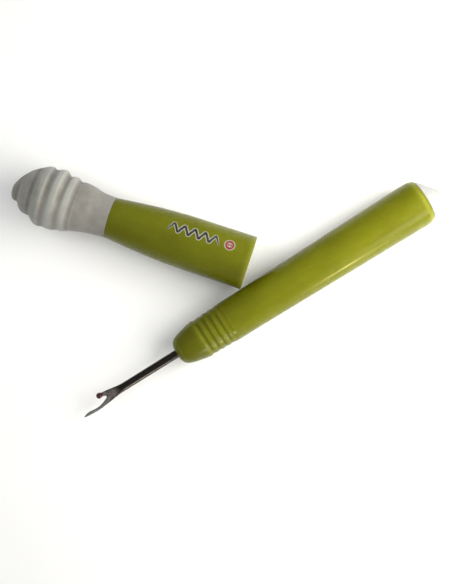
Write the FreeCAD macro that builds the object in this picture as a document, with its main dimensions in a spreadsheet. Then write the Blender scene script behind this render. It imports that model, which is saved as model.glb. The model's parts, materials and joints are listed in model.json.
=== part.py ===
import FreeCAD, Part
import math
import os
import re
import Sketcher

# A seam ripper lying uncapped: a handle with a forged two-pronged blade, and
# its cap, which ends in a ringed rubber thread eraser, lying slanted beside it.
#
# Each piece is drawn along its own X axis. The handle's pieces measure x from
# the nose face towards the tail, so the blade has negative x. The cap's pieces
# measure x from the rubber tip towards the mouth.

SIZES = {
    # handle shell, outside
    "nose_face": 1.9,          # flat round the blade
    "nose_via": 0.63,          # middle of the nose's rounded corner
    "nose_via_radius": 3.55,
    "nose_corner": 1.9,        # where that corner ends
    "nose_rim": 4.5,
    "shoulder": 8.55,
    "shoulder_radius": 6.1,
    "shoulder_bulge": 0.1,
    "ring_start": 9.7,         # first of the grip's valleys
    "ring_pitch": 2.1,
    "ring_depth": 0.28,
    "ring_radius": 6.05,       # crest of the first ring
    "ring_growth": 0.07,       # each next crest is this much larger
    "land_start": 19.0,        # cylinder that the cap slides over
    "land_end": 25.4,
    "land_radius": 6.35,
    "barrel_end": 84.8,        # barrel tapers up to here
    "barrel_radius": 7.22,
    "tail_via": 86.6,
    "tail_via_radius": 6.92,
    "tail_face": 87.5,
    "tail_radius": 6.45,
    # handle shell, inside
    "cavity_start": 27.0,
    "cavity_dome": 1.5,
    "cavity_front": 4.2,
    "cavity_back": 4.9,
    "socket_floor": 78.0,
    "socket_radius": 5.3,
    # blade
    "shaft_radius": 1.25,
    "shaft_end": 19.5,         # from here the rod is forged flat
    "forge_end": 24.0,
    "forge_half": 0.5,         # half the thickness left of the rod there
    "tang_depth": 20.0,
    "tang_tip": 0.8,
    "tang_taper": 0.6,
    "waist_depth": 13.0,       # groove that keys the tang into the nose
    "waist_width": 2.0,
    "waist_radius": 1.0,
    "fork_blank": 1.7,         # thickness of the fork before it is flattened
    "flat_start": 18.5,
    "web_start": 22.5,
    "web_half": 0.55,          # half the thickness of the flat web
    "lance_start": 30.6,
    "lance_start_half": 0.5,
    "lance_full": 32.0,
    "lance_half": 0.42,
    "point_half": 0.1,
    "blade_reach": 34.2,
    # red ball, with a slot that takes the short prong's tongue
    "ball_radius": 0.93,
    "ball_reach": 26.8,
    "ball_offset": 1.65,
    "ball_seat": 0.65,         # its back is flat at this distance from its middle
    "tongue_length": 0.6,
    "tongue_half": 0.25,
    # tail ring and tail eraser
    "bush_back": 0.05,         # the bush sits this far inside the tail face
    "bush_length": 7.0,
    "bush_chamfer": 0.4,
    "stem_radius": 3.5,
    "barb_radius": 4.3,
    "barb_length": 1.6,
    "barb_taper": 0.6,
    "cone_inset": 0.05,
    "cone_via": 89.85,
    "cone_via_radius": 3.95,
    "cone_top": 92.0,
    "cone_top_radius": 0.95,
    "tail_tip": 92.6,
    # cap eraser, outside
    "bead_start": 4.0,
    "bead_start_radius": 6.1,
    "last_bead": 20.7,
    "last_bead_radius": 7.78,
    "waist": 22.15,
    "collar_radius": 7.5,
    "neck_via": 26.35,
    "neck_via_radius": 6.58,
    "neck": 30.75,             # rubber meets the green tube here
    "neck_radius": 6.25,
    # cap shell
    "flare": 42.75,
    "flare_radius": 7.47,
    "straight_start": 53.5,
    "straight_radius": 8.1,
    "mouth": 74.6,
    "mouth_radius": 8.28,
    "mouth_round": 0.3,
    "lead_in": 0.6,
    "lead_in_radius": 6.81,
    "bore_radius": 6.45,
    "bore_length": 20.0,
    "seat_length": 2.0,
    "seat_radius": 4.9,
    "liner_socket": 43.6,
    # cap core
    "liner_start": 11.0,
    "liner_radius": 5.1,
    "liner_chamfer": 0.8,
    "liner_floor": 1.6,
    "liner_stem": 4.4,         # radius of its stem inside the green tube
    "stem_chamfer": 0.4,
    "pocket_radius": 3.0,
    "pocket_dome": 1.0,
    "pocket_mouth": 0.8,
    "pocket_mouth_radius": 3.7,
    "flange_start": 29.2,
    "flange_radius": 5.6,
    "key_start": 15.0,         # bead on the liner that locks the rubber
    "key_length": 3.0,
    "key_chamfer": 0.8,
    "key_radius": 6.1,
    # between pieces
    "skin_gap": 0.02,          # clearance of moulded and pressed joints
    "overcut": 1.0,            # how far a cut runs past the solid
    # how the two halves lie
    "cap_turn": 50.15,         # degrees between the cap's axis and the handle's
    "mouth_along": 32.8,       # the mouth's centre, from the nose face
    "mouth_aside": 11.6,       # and from the handle's axis
}

# Silhouette of the rubber rings: crest place and radius, then the valley after it.
BEADS = (
    (6.0, 7.3, 7.6, 7.8),
    (9.9, 9.2, 11.6, 8.95),
    (13.6, 9.4, 15.9, 8.5),
    (17.2, 8.68, 19.5, 7.75),
)

# Edge of the forged fork, as reach from the nose face and offset from the axis,
# positive on the ball's side. Four numbers are an arc: its end, then its middle.
CROTCH = (
    (25.6, 0.8),
    (25.9, -0.36, 24.95, 0.3),
)
LANCE = (
    (27.4, -0.85),
    (31.2, -0.92, 29.1, -1.12),
    (34.2, -1.52, 32.8, -0.98),
    (32.9, -1.85),
    (26.6, -1.87, 29.9, -2.1),
)
FORK_ROOT = (
    (18.0, -0.8, 22.4, -1.34),
    (18.0, 0.8),
)
BALL_PRONG = (
    (26.15, 2.1, 22.6, 1.68),
)
RING_COUNT = 4
ARC_MIDDLE = 1 - math.cos(math.pi / 4)  # how far a quarter round's middle is from its corner's sides
BOX_ACCURACY = 0.01  # how closely the pair is measured when it is centred

document = FreeCAD.newDocument("SeamRipper")
sheet = document.addObject("Spreadsheet::Sheet", "Sizes")


def fill_sheet():
    """Put every driving size in the sheet under its own name."""
    for row, (name, size) in enumerate(SIZES.items(), start=1):
        sheet.set("A%d" % row, name)
        add_size("B%d" % row, name, size)
    for number, bead in enumerate(BEADS):
        for column, part, size in zip("DEFG", ("crest", "height", "valley", "dip"), bead):
            add_size("%s%d" % (column, number + 1), bead_name(part, number), size)
    document.recompute()


def add_size(cell, name, size):
    sheet.set(cell, str(size))
    sheet.setAlias(cell, name)


def bead_name(part, number):
    return "bead_%s_%s" % (part, "abcd"[number])


def linked(expression):
    """The expression with each size's name pointing at the sheet."""
    return re.sub(r"[a-z_]{3,}(?![a-z_(])", lambda word: "Sizes." + word.group(), expression)


def size_of(expression):
    """The expression's value in millimetres."""
    return float(sheet.evalExpression(expression))


def bind(sketch, kind, *place):
    """Add a dimension whose last item is an expression, and keep it bound to the sheet."""
    index = sketch.addConstraint(Sketcher.Constraint(kind, *place[:-1], size_of(place[-1])))
    sketch.setExpression("Constraints[%d]" % index, linked(place[-1]))


def pin_point(sketch, geometry, end, x, y):
    """Hold one point of the sketch at x, y. A coordinate of "0" holds it on that axis."""
    for kind, axis, size in (("DistanceX", -2, x), ("DistanceY", -1, y)):
        if size == "0":
            sketch.addConstraint(Sketcher.Constraint("PointOnObject", geometry, end, axis))
        else:
            bind(sketch, kind, geometry, end, size)


def origin_plane(body, role):
    return next(item for item in body.Origin.OriginFeatures if item.Role == role)


def draw_outline(body, name, corners, role="XY_Plane"):
    """A closed sketch. A corner is (x, y), reached by a line from the corner before it.

    (x, y, via_x, via_y) is reached by an arc through via, and (x, y, "dome") by
    an arc whose centre is on the X axis.
    """
    sketch = body.newObject("Sketcher::SketchObject", name)
    sketch.AttachmentSupport = [(origin_plane(body, role), "")]
    sketch.MapMode = "FlatFace"
    points = [point_at(corner[0], corner[1]) for corner in corners]
    tips = []
    for index, corner in enumerate(corners):
        via = None
        if len(corner) == 4:
            via = point_at(corner[2], corner[3])
        elif len(corner) == 3:
            via = dome_middle(points[index - 1], points[index])
        tips.append(add_edge(sketch, points[index - 1], via, points[index]))
    for index, corner in enumerate(corners):
        follower = (index + 1) % len(corners)
        start = 3 - tips[follower]
        sketch.addConstraint(Sketcher.Constraint("Coincident", index, tips[index], follower, start))
        pin_point(sketch, index, tips[index], corner[0], corner[1])
        if len(corner) == 4:
            mark = sketch.addGeometry(Part.Point(point_at(corner[2], corner[3])), True)
            pin_point(sketch, mark, 1, corner[2], corner[3])
            sketch.addConstraint(Sketcher.Constraint("PointOnObject", mark, 1, index))
        elif len(corner) == 3:
            sketch.addConstraint(Sketcher.Constraint("PointOnObject", index, 3, -1))
    return sketch


def point_at(x, y):
    return FreeCAD.Vector(size_of(x), size_of(y), 0)


def dome_middle(start, end):
    """The middle of the arc from start to end whose centre is on the X axis."""
    run = end.x - start.x
    centre = start.x + (run * run + end.y * end.y - start.y * start.y) / (2 * run)
    radius = math.hypot(start.x - centre, start.y)
    angle = (math.atan2(start.y, start.x - centre) + math.atan2(end.y, end.x - centre)) / 2
    return FreeCAD.Vector(centre + radius * math.cos(angle), radius * math.sin(angle), 0)


def add_edge(sketch, start, via, end):
    """Add a line, or an arc through via, and say which of its ends lies at end: 1 or 2."""
    if via is None:
        sketch.addGeometry(Part.LineSegment(start, end))
        return 2
    if (via - start).cross(end - via).z > 0:
        sketch.addGeometry(Part.Arc(start, via, end))
        return 2
    # a sketch keeps its arcs anticlockwise
    sketch.addGeometry(Part.Arc(end, via, start))
    return 1


def new_body(label):
    body = document.addObject("PartDesign::Body", label + "_body")
    body.Label = label
    return body


def turn_outline(body, kind, name, corners):
    """Revolve a closed outline about X, as material (Revolution) or as a cut (Groove)."""
    sketch = draw_outline(body, name + "_outline", corners)
    before = body.Shape.Volume if body.Tip else 0.0
    feature = body.newObject("PartDesign::" + kind, name)
    feature.Profile = (sketch, [""])
    feature.ReferenceAxis = (sketch, ["H_Axis"])
    feature.Angle = 360.0
    document.recompute()
    changed = body.Shape.Volume - before
    if (changed > 0) != (kind == "Revolution"):
        raise RuntimeError("%s changed the volume of %s by %.3f" % (name, body.Label, changed))
    return feature


def at_reach(expression):
    """A distance out along the blade, as x."""
    return "-(%s)" % expression


def tang_outline(gap):
    """The round part of the blade inside the nose, grown all over by gap."""
    depth, half = "waist_depth", "waist_width/2"
    return [
        ("tang_depth+%s" % gap, "0"),
        ("tang_depth+%s" % gap, "tang_tip+%s" % gap),
        ("tang_depth-tang_taper+%s" % gap, "shaft_radius+%s" % gap),
        ("%s+%s-%s" % (depth, half, gap), "shaft_radius+%s" % gap),
        ("%s+%s-%s" % (depth, half, gap), "waist_radius+%s" % gap),
        ("%s-%s+%s" % (depth, half, gap), "waist_radius+%s" % gap),
        ("%s-%s+%s" % (depth, half, gap), "shaft_radius+%s" % gap),
    ]


def make_handle_shell():
    """Green tube: rounded nose, grip rings, cap land, tapered barrel, turned-in tail."""
    body = new_body("handle_shell")
    corners = [
        ("0", "0"),
        ("0", "nose_face"),
        ("nose_corner", "nose_rim", "nose_via", "nose_via_radius"),
        (
            "shoulder", "shoulder_radius",
            "(nose_corner+shoulder)/2", "(nose_rim+shoulder_radius)/2+shoulder_bulge",
        ),
        ("ring_start", "ring_radius-ring_depth"),
    ]
    for ring in range(RING_COUNT):
        crest = "ring_radius+%d*ring_growth" % ring
        corners.append((
            "ring_start+%d*ring_pitch" % (ring + 1),
            "%s-ring_depth" % crest,
            "ring_start+%.1f*ring_pitch" % (ring + 0.5),
            crest,
        ))
    corners += [
        ("land_start", "land_radius"),
        ("land_end", "land_radius"),
        ("barrel_end", "barrel_radius"),
        ("tail_face", "tail_radius", "tail_via", "tail_via_radius"),
        ("tail_face", "0"),
    ]
    turn_outline(body, "Revolution", "barrel", corners)
    turn_outline(body, "Groove", "cavity", [
        ("cavity_start", "0"),
        ("cavity_start+cavity_dome", "cavity_front", "dome"),
        ("socket_floor", "cavity_back"),
        ("socket_floor", "socket_radius"),
        ("tail_face+overcut", "socket_radius"),
        ("tail_face+overcut", "0"),
    ])
    socket = [("-overcut", "0")] + tang_outline("skin_gap") + [("-overcut", "shaft_radius+skin_gap")]
    turn_outline(body, "Groove", "blade_socket", socket)
    return body


def edge(points):
    """Points of the fork's edge as corners of an outline."""
    corners = []
    for point in points:
        corners.append(tuple(
            at_reach(size) if index % 2 == 0 else str(size) for index, size in enumerate(point)))
    return corners


def tongue_outline():
    """End of the short prong: its shoulder at the ball's flat back, and the tongue inside the ball."""
    shoulder = at_reach("ball_reach-ball_seat")
    end = at_reach("ball_reach-ball_seat+tongue_length")
    return [
        (shoulder, "ball_offset+tongue_half"),
        (end, "ball_offset+tongue_half"),
        (end, "ball_offset-tongue_half"),
        (shoulder, "ball_offset-tongue_half"),
        (shoulder, "ball_offset-ball_seat"),
    ]


def cut_through(body, name, corners, role, length=None):
    """Pocket a closed outline through the body, evenly on both sides of its plane."""
    before = body.Shape.Volume
    cut = body.newObject("PartDesign::Pocket", name)
    cut.Profile = (draw_outline(body, name + "_outline", corners, role), [""])
    cut.Midplane = True
    if length is None:
        cut.Type = "ThroughAll"
    else:
        cut.setExpression("Length", linked(length))
    document.recompute()
    if body.Shape.Volume >= before:
        raise RuntimeError("%s cut nothing from %s" % (name, body.Label))
    return cut


def make_blade():
    """Round rod with its tang, forged flat into the web that carries both prongs."""
    body = new_body("blade")
    turn_outline(body, "Revolution", "rod", tang_outline("0") + [
        (at_reach("shaft_end"), "shaft_radius"),
        (at_reach("forge_end"), "forge_half"),
        (at_reach("forge_end"), "0"),
    ])
    corners = edge(BALL_PRONG) + tongue_outline() + edge(CROTCH) + edge(LANCE) + edge(FORK_ROOT)
    fork = body.newObject("PartDesign::Pad", "fork")
    fork.Profile = (draw_outline(body, "fork_outline", corners), [""])
    fork.SideType = "Symmetric"
    fork.setExpression("Length", "Sizes.fork_blank")
    document.recompute()
    top_flat = cut_through(body, "top_flat", [
        (at_reach("flat_start"), "shaft_radius"),
        (at_reach("web_start"), "web_half"),
        (at_reach("lance_start"), "lance_start_half"),
        (at_reach("lance_full"), "lance_half"),
        (at_reach("blade_reach"), "point_half"),
        (at_reach("blade_reach+overcut"), "point_half"),
        (at_reach("blade_reach+overcut"), "shaft_radius"),
    ], "XZ_Plane")
    bottom_flat = body.newObject("PartDesign::Mirrored", "bottom_flat")
    bottom_flat.Originals = [top_flat]
    bottom_flat.MirrorPlane = (origin_plane(body, "XY_Plane"), [""])
    body.Tip = bottom_flat
    document.recompute()
    return body


def make_blade_ball():
    """Red ball on the end of the short prong, drawn round its own middle."""
    body = new_body("blade_ball")
    turn_outline(body, "Revolution", "ball", [
        ("-ball_radius", "0"),
        ("ball_seat", "sqrt(ball_radius^2-ball_seat^2)", "dome"),
        ("ball_seat", "0"),
    ])
    half = "tongue_half+skin_gap"
    floor = "ball_seat-tongue_length-skin_gap"
    cut_through(body, "tongue_slot", [
        (floor, "-(%s)" % half),
        ("ball_seat+overcut", "-(%s)" % half),
        ("ball_seat+overcut", half),
        (floor, half),
    ], "XY_Plane", "2*web_half")
    return body


def make_tail_ring():
    """Hard bush pressed into the tail, through which the soft tip's stem is pulled."""
    body = new_body("tail_ring")
    back = "tail_face-bush_back"
    front = "tail_face-bush_back-bush_length"
    turn_outline(body, "Revolution", "bush", [
        (front, "stem_radius"),
        (front, "socket_radius-bush_chamfer"),
        (front + "+bush_chamfer", "socket_radius-skin_gap"),
        (back, "socket_radius-skin_gap"),
        (back, "stem_radius"),
    ])
    return body


def make_tail_eraser():
    """Soft pointed tip over the tail, with a barbed stem through the bush."""
    body = new_body("tail_eraser")
    front = "tail_face-bush_back-bush_length-skin_gap"
    base = "tail_face+skin_gap"
    turn_outline(body, "Revolution", "cone", [
        (base, "0"),
        (base, "tail_radius-cone_inset"),
        ("cone_top", "cone_top_radius", "cone_via", "cone_via_radius"),
        ("tail_tip", "0", "dome"),
    ])
    turn_outline(body, "Revolution", "stem", [
        (front + "-barb_length", "0"),
        (front + "-barb_length", "stem_radius-barb_taper"),
        (front, "barb_radius"),
        (front, "stem_radius-skin_gap"),
        (base, "stem_radius-skin_gap"),
        (base, "0"),
    ])
    return body


def make_cap_shell():
    """Green tube of the cap: neck, flare, straight mouth, with a bore, a seat and a liner socket."""
    body = new_body("cap_shell")
    corner_inset = "%.4f*mouth_round" % ARC_MIDDLE
    turn_outline(body, "Revolution", "sleeve", [
        ("neck", "0"),
        ("neck", "neck_radius"),
        ("straight_start", "straight_radius", "flare", "flare_radius"),
        ("mouth-mouth_round", "mouth_radius"),
        ("mouth", "mouth_radius-mouth_round", "mouth-" + corner_inset, "mouth_radius-" + corner_inset),
        ("mouth", "0"),
    ])
    bore_back = "mouth-lead_in-bore_length"
    liner = "liner_stem+skin_gap"
    turn_outline(body, "Groove", "bore", [
        ("mouth+overcut", "0"),
        ("mouth+overcut", "lead_in_radius"),
        ("mouth", "lead_in_radius"),
        ("mouth-lead_in", "bore_radius"),
        (bore_back, "bore_radius"),
        (bore_back + "-seat_length", "seat_radius"),
        ("liner_socket", liner),
        ("neck-overcut", liner),
        ("neck-overcut", "0"),
    ])
    return body


def core_outline(gap):
    """Outside of the cap's core where the rubber is moulded over it, grown by gap."""
    start, end = "key_start", "key_start+key_length"
    return [
        ("liner_start-%s" % gap, "0"),
        ("liner_start-%s" % gap, "liner_radius-liner_chamfer+%s" % gap),
        ("liner_start+liner_chamfer-%s" % gap, "liner_radius+%s" % gap),
        ("%s-%s" % (start, gap), "liner_radius+%s" % gap),
        ("%s+key_chamfer-%s" % (start, gap), "key_radius+%s" % gap),
        ("%s+%s" % (end, gap), "key_radius+%s" % gap),
        ("%s+%s" % (end, gap), "liner_radius+%s" % gap),
        ("flange_start-%s" % gap, "liner_radius+%s" % gap),
        ("flange_start-%s" % gap, "flange_radius+%s" % gap),
    ]


def make_cap_core():
    """Hard liner of the bulb, with a stem into the green tube and a pocket for the blade's point."""
    body = new_body("cap_core")
    turn_outline(body, "Revolution", "liner", core_outline("0") + [
        ("neck-skin_gap", "flange_radius"),
        ("neck-skin_gap", "liner_stem"),
        ("liner_socket-stem_chamfer", "liner_stem"),
        ("liner_socket-skin_gap", "liner_stem-stem_chamfer"),
        ("liner_socket-skin_gap", "0"),
    ])
    turn_outline(body, "Groove", "pocket", [
        ("liner_start+liner_floor", "0"),
        ("liner_start+liner_floor+pocket_dome", "pocket_radius", "dome"),
        ("liner_socket-pocket_mouth", "pocket_radius"),
        ("liner_socket-skin_gap", "pocket_mouth_radius"),
        ("liner_socket+overcut", "pocket_mouth_radius"),
        ("liner_socket+overcut", "0"),
    ])
    return body


def make_cap_eraser():
    """White rubber bulb: a domed tip, moulded rings, and a neck that meets the green tube."""
    body = new_body("cap_eraser")
    corners = [
        ("0", "0"),
        ("bead_start", "bead_start_radius", "dome"),
    ]
    for number in range(len(BEADS)):
        corners.append(tuple(bead_name(part, number) for part in ("valley", "dip", "crest", "height")))
    corners += [
        ("waist", "collar_radius", "last_bead", "last_bead_radius"),
        ("neck-skin_gap", "neck_radius", "neck_via", "neck_via_radius"),
        ("neck-skin_gap", "0"),
    ]
    turn_outline(body, "Revolution", "bulb", corners)
    turn_outline(body, "Groove", "core_space", core_outline("skin_gap") + [
        ("neck+overcut", "flange_radius+skin_gap"),
        ("neck+overcut", "0"),
    ])
    return body


def rest_on(front, front_radius, back, back_radius):
    """Tilt and nose height of a round body lying on the floor on two of its rings."""
    slope = (size_of(back_radius) - size_of(front_radius)) / (size_of(back) - size_of(front))
    tilt = math.atan(slope)
    height = size_of(front_radius) * math.cos(tilt) - size_of(front) * math.sin(tilt)
    return tilt, height


def lay_down(handle_pieces, ball, cap_pieces):
    """Lay handle and cap on the floor, and centre the pair over the origin."""
    down = FreeCAD.Vector(0, 1, 0)
    up = FreeCAD.Vector(0, 0, 1)
    tilt, height = rest_on("land_start", "land_radius", "barrel_end", "barrel_radius")
    tipped = FreeCAD.Rotation(down, -math.degrees(tilt))
    handle = FreeCAD.Placement(FreeCAD.Vector(0, 0, height), tipped)

    tilt, height = rest_on("bead_crest_c", "bead_height_c", "mouth-mouth_round", "mouth_radius")
    tipped = FreeCAD.Rotation(down, -math.degrees(tilt))
    lie = FreeCAD.Rotation(up, -size_of("cap_turn")).multiply(tipped)
    back = lie.multVec(FreeCAD.Vector(-size_of("mouth"), 0, 0))
    middle = FreeCAD.Vector(size_of("mouth_along"), size_of("mouth_aside"), height)
    cap = FreeCAD.Placement(middle.add(FreeCAD.Vector(back.x, back.y, 0)), lie)

    offset = FreeCAD.Vector(-size_of("ball_reach"), size_of("ball_offset"), 0)
    ball_place = handle.multiply(FreeCAD.Placement(offset, FreeCAD.Rotation()))
    groups = [(handle, handle_pieces), (ball_place, [ball]), (cap, cap_pieces)]
    box = FreeCAD.BoundBox()
    for place, pieces in groups:
        for piece in pieces:
            piece.Placement = place
            for point in piece.Shape.tessellate(BOX_ACCURACY)[0]:
                box.add(point)
    shift = FreeCAD.Vector(-box.Center.x, -box.Center.y, -box.ZMin)
    for place, pieces in groups:
        place.Base = place.Base.add(shift)
        for piece in pieces:
            piece.Placement = place
    document.recompute()
    print("%-22s %.3f x %.3f x %.3f" % ("size", box.XLength, box.YLength, box.ZLength))
    return handle, cap


def check_and_export(pieces):
    """Write each piece's own STEP file, once every object is sound."""
    for item in document.Objects:
        if {"Invalid", "Error"} & set(item.State):
            raise RuntimeError("%s failed: %s" % (item.Label, item.State))
    for piece in pieces:
        if piece.Shape.isNull() or not piece.Shape.isValid() or len(piece.Shape.Solids) != 1:
            raise RuntimeError("%s is not one valid solid" % piece.Label)
    os.makedirs("parts", exist_ok=True)
    for piece in pieces:
        piece.Shape.exportStep("parts/%s.step" % piece.Label)


def print_places(handle, cap):
    """Print where the interfaces lie, for the part's record."""
    for name, place, x in (
        ("nose face", handle, "0"),
        ("cap land, front end", handle, "land_start"),
        ("bore, mouth end", cap, "mouth-lead_in"),
        ("cap mouth", cap, "mouth"),
    ):
        point = place.multVec(FreeCAD.Vector(size_of(x), 0, 0))
        axis = place.Rotation.multVec(FreeCAD.Vector(1, 0, 0))
        print("%-22s at %8.4f %8.4f %8.4f along %9.6f %9.6f %9.6f" % (name, *point, *axis))


fill_sheet()
ball = make_blade_ball()
handle_pieces = [make_handle_shell(), make_blade(), make_tail_ring(), make_tail_eraser()]
cap_pieces = [make_cap_shell(), make_cap_core(), make_cap_eraser()]
handle_place, cap_place = lay_down(handle_pieces, ball, cap_pieces)
check_and_export(handle_pieces + [ball] + cap_pieces)
print_places(handle_place, cap_place)
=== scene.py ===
import json
import math

import bpy
from mathutils import Matrix, Vector, noise


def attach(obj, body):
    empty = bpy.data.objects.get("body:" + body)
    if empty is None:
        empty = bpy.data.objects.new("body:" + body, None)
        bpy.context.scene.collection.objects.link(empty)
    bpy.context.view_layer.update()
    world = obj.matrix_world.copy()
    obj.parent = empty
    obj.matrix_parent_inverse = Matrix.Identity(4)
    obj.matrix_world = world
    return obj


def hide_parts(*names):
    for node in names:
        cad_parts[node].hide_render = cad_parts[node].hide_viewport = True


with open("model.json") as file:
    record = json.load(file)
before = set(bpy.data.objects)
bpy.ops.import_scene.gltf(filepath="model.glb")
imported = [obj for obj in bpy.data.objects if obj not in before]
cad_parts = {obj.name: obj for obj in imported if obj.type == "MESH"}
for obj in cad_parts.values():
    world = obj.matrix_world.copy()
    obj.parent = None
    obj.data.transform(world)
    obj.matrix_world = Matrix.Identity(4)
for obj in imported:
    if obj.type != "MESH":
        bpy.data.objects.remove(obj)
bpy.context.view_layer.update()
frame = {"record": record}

# A seam ripper and its cap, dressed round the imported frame.
#
# Lengths are millimetres until a mesh is made. Each piece is drawn along its own
# X axis: the handle's pieces from the nose face towards the tail, so the blade
# has negative x, and the cap's from the rubber tip towards the mouth. Y is level
# and Z points up.

MM = 0.001
GAP = 0.02                     # left between pieces that seat on one another

# handle
NOSE_HOLE = 1.27               # radius of the socket for the tang
SHOULDER = 8.55                # where the nose ends
SHOULDER_RADIUS = 6.1
RING_START = 9.7
RING_PITCH = 2.1
RING_COUNT = 4
RING_DEPTH = 0.22
RING_SHARPNESS = 1.3           # above 1 the valleys widen and the crests narrow
FIRST_CREST = 6.05             # radius half a pitch into the rings
CREST_GROWTH = 0.07            # and its gain from one ring to the next
LAND_START = 19.0
LAND_END = 25.4
LAND_RADIUS = 6.35
GROOVE = (18.0, 0.4, 0.05)     # x, width and depth of the line in front of the land
BARREL_END = 84.8
BARREL_RADIUS = 7.22
TAIL_FACE = 87.5
TAIL_SOCKET = 5.3              # radius of the socket for the bush
SOCKET_FLOOR = 78
HOLLOW_SHOULDER = 30
HOLLOW_FRONT = 27
BUSH_FRONT = TAIL_FACE - 7.05
BUSH_BACK = TAIL_FACE - 0.05
BUSH_BORE = 3.52
BUSH_RADIUS = 5.28
TIP_STEM = 3.48
TIP_END = 92.6
# (x, width, strength) of the rubbed edges, and the strength of the paler ring crests, which are rubbed and
# also carry a painted highlight
EDGE_WEAR = ((SHOULDER, 0.7, 0.32), (1.4, 0.6, 0.5), (86.3, 0.6, 0.7))
CREST_WEAR_AND_HIGHLIGHT = 0.42
# blade
SHAFT_RADIUS = 1.25
SHAFT_END = 19.0
TANG_DEPTH = 20.0
KEY_START, KEY_END = 12, 14    # groove round the tang, that deep in the handle
WEB_HALF = 0.55
WEB_FLAT = 22.6                # from here on the web has its full flatness
WEB_BOXINESS = 0.74            # how far its section goes from round to boxy
CROTCH = (24.95, 0.3)          # reach, and offset towards the ball
FORK_LEAD = 2.6                # the section begins to part this far before the crotch
GRIND_LEAD = 0.85              # and thins along the parting this far before it
SPLIT_DRIFT = 0.04             # how fast the parting moves towards the ball, before the crotch
BEVEL = (27.5, 31, 0.45)       # where the lance's bevel starts and is full, and how sharp it gets
BLADE_REACH = 34.2
BALL_RADIUS = 0.93
BALL_REACH = 26.8              # middle of the ball
BALL_OFFSET = 1.65
BALL_ARC = 2.25                # radians of ball before the collar takes over
BALL_LEAN = -8                 # degrees
# cap
NECK = 30.75
NECK_RADIUS = 6.25
MOUTH = 74.6
MOUTH_RADIUS = 8.28
LEAD_IN = 0.6
LEAD_IN_RADIUS = 6.81
BORE_RADIUS = 6.45
BORE_LENGTH = 20.0
SEAT_RADIUS = 4.9              # of the hole behind the nose's seat
SEAT_LENGTH = 2
LINER_START = 11.0
LINER_RADIUS = 5.1
BEAD_START, BEAD_TOP, BEAD_END = 15, 15.8, 18
BEAD_RADIUS = 6.1
FLANGE_START = 29.2
FLANGE_RADIUS = 5.6
LINER_STEM = 4.4
LINER_END = 43.6
POCKET_RADIUS = 3.0

mounts = {mount["name"]: mount for mount in frame["record"]["mounts"]}


def half_place(mount, sign, distance):
    """Place of a half's own axes: X along the mount's axis, the origin distance behind the mount."""
    along = sign * Vector(mounts[mount]["axis"]).normalized()
    level = Vector((0, 0, 1)).cross(along).normalized()
    place = Matrix((along, level, along.cross(level))).transposed().to_4x4()
    place.translation = Vector(mounts[mount]["pos_m"]) - along * distance * MM
    return place


handle_place = half_place("cap_land", -1, LAND_START)
cap_place = half_place("cap_mouth", 1, MOUTH - LEAD_IN)


# ---------------------------------------------------------------- curves

def through(*points):
    """Smooth curve through (x, y) points, as a function of x that never overshoots them."""
    steps = [(b[0] - a[0], (b[1] - a[1]) / (b[0] - a[0])) for a, b in zip(points, points[1:])]
    slopes = [steps[0][1]]
    for (width, rise), (next_width, next_rise) in zip(steps, steps[1:]):
        if rise * next_rise <= 0:
            slopes.append(0.0)
            continue
        near, far = 2 * next_width + width, next_width + 2 * width
        slopes.append((near + far) / (near / rise + far / next_rise))
    slopes.append(steps[-1][1])

    def curve(x):
        x = min(max(x, points[0][0]), points[-1][0])
        index = max(i for i in range(len(steps)) if points[i][0] <= x or i == 0)
        width = steps[index][0]
        t = (x - points[index][0]) / width
        rest = 1 - t
        return (
            points[index][1] * rest * rest * (1 + 2 * t)
            + points[index + 1][1] * t * t * (1 + 2 * rest)
            + width * t * rest * (slopes[index] * rest - slopes[index + 1] * t)
        )

    return curve


def spread(start, end, step):
    """Evenly spaced values from start to end, about step apart."""
    count = max(1, round(abs(end - start) / step))
    return [start + (end - start) * i / count for i in range(count + 1)]


def ease(x, start, end):
    """0 before start, 1 after end, and smooth between them."""
    t = min(max((x - start) / (end - start), 0.0), 1.0)
    return t * t * (3 - 2 * t)


def bump_at(x, middle, width):
    """1 at the middle, and less the more widths x is away from it."""
    return math.exp(-(((x - middle) / width) ** 2))


def rounded(corners, steps=5):
    """A chain of (x, r) corners. A third number rounds that corner with about that radius."""
    chain = []
    for index, corner in enumerate(corners):
        here = Vector(corner[:2])
        if len(corner) == 2:
            chain.append(tuple(here))
            continue
        before = Vector(corners[index - 1][:2]) - here
        after = Vector(corners[(index + 1) % len(corners)][:2]) - here
        reach = min(corner[2], 0.48 * before.length, 0.48 * after.length)
        start, end = here + before.normalized() * reach, here + after.normalized() * reach
        for i in range(steps + 1):
            t = i / steps
            chain.append(tuple(start * (1 - t) ** 2 + here * 2 * t * (1 - t) + end * t * t))
    return chain


# ---------------------------------------------------------------- meshes

def make_piece(name, points, faces, place, body, nodes=(), slot=None, sharp=32):
    """A closed mesh object on its CAD body. Points are in millimetres on the half's own axes."""
    mesh = bpy.data.meshes.new(name)
    mesh.from_pydata([Vector(point) * MM for point in points], [], faces)
    mesh.validate()
    mesh.shade_smooth()
    mesh.set_sharp_from_angle(angle=math.radians(sharp))
    piece = bpy.data.objects.new(name, mesh)
    bpy.context.scene.collection.objects.link(piece)
    piece.matrix_world = place
    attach(piece, body)
    if nodes:
        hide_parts(*nodes)
    return piece


def mark(piece, name, values):
    """Keep one number per point for the piece's material to read."""
    attribute = piece.data.attributes.new(name, "FLOAT", "POINT")
    attribute.data.foreach_set("value", values)


ON_AXIS = 1e-6


def without_repeats(corners):
    """A face's corners without those that equal the one before."""
    return [corner for k, corner in enumerate(corners) if corner != corners[k - 1]]


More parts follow.
